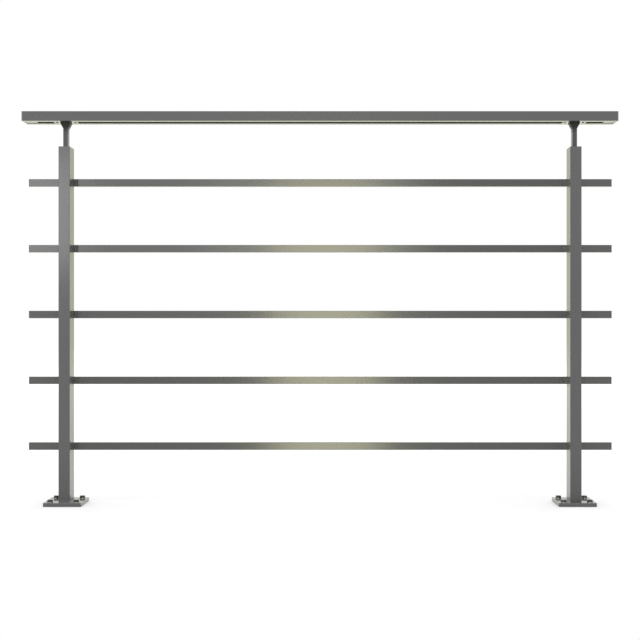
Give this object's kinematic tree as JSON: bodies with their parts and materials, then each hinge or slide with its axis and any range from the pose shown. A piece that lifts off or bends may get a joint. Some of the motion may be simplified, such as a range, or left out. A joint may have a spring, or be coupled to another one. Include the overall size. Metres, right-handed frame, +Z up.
{
  "type": "aluminium railing section",
  "caption": "Floor-mounted aluminium railing section: two posts, five rails across their backs and a flat slotted handrail on flared stems.",
  "frame": {"origin": "centre of the underside of the left foot plate, on the surface that carries it", "axes": "+X along the railing towards the right post, +Y away from the side that the picture shows, +Z up"},
  "size_m": [1.5784, 0.1, 1.0435],
  "materials": {
    "satin_grey": "satin anodised, grey",
    "dark_grey": "satin anodised, darker grey",
    "stainless": "brushed stainless steel",
    "grey_plastic": "matt moulded plastic, grey",
    "dark_steel": "blackened steel"
  },
  "bodies": {
    "root": {"left_foot_plate": "satin_grey", "left_post": "satin_grey", "left_post_cap": "satin_grey", "left_stem": "dark_grey", "left_saddle": "stainless", "left_handrail_cap": "satin_grey", "right_foot_plate": "satin_grey", "right_post": "satin_grey", "right_post_cap": "satin_grey", "right_stem": "dark_grey", "right_saddle": "stainless", "right_handrail_cap": "satin_grey", "handrail": "satin_grey", "rail_1": "satin_grey", "rail_1_left_plug": "grey_plastic", "rail_1_right_plug": "grey_plastic", "rail_2": "satin_grey", "rail_2_left_plug": "grey_plastic", "rail_2_right_plug": "grey_plastic", "rail_3": "satin_grey", "rail_3_left_plug": "grey_plastic", "rail_3_right_plug": "grey_plastic", "rail_4": "satin_grey", "rail_4_left_plug": "grey_plastic", "rail_4_right_plug": "grey_plastic", "rail_5": "satin_grey", "rail_5_left_plug": "grey_plastic", "rail_5_right_plug": "grey_plastic"}
  },
  "joints": []
}
